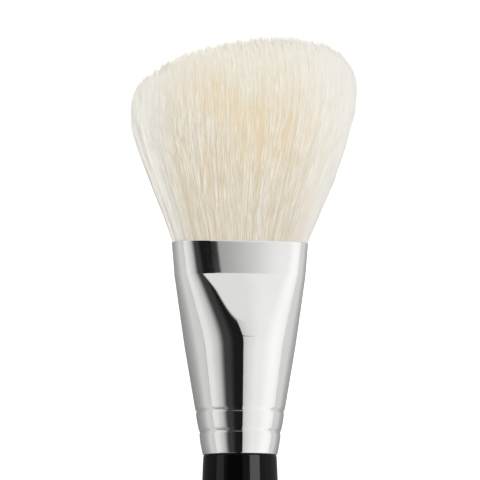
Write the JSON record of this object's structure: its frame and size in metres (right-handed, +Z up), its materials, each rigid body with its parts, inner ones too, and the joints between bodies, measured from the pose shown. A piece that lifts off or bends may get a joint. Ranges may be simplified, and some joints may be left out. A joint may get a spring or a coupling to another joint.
{
  "type": "shading brush",
  "caption": "Face shading brush with a flared natural-hair tuft, slanted dome, pressed metal ferrule and turned black handle.",
  "frame": {"origin": "middle of the base of the brush's bounding box, on the surface that the brush lies on", "axes": "+Z up from that surface, +Y along the brush towards the hair, +X across the wide face towards the high side of the slanted dome"},
  "size_m": [0.0428, 0.1832, 0.0269],
  "materials": {
    "natural_hair": "soft cream goat hair with warm streaks",
    "polished_metal": "bright nickel plate on brass sheet",
    "black_lacquer": "high-gloss black lacquer on turned wood",
    "set_glue": "set amber epoxy, hidden inside the ferrule",
    "cotton_thread": "waxed cotton, hidden inside the ferrule"
  },
  "bodies": {
    "root": {"hair_tuft": "natural_hair", "ferrule": "polished_metal", "handle": "black_lacquer", "glue_plug": "set_glue", "binding_thread": "cotton_thread"}
  },
  "joints": []
}
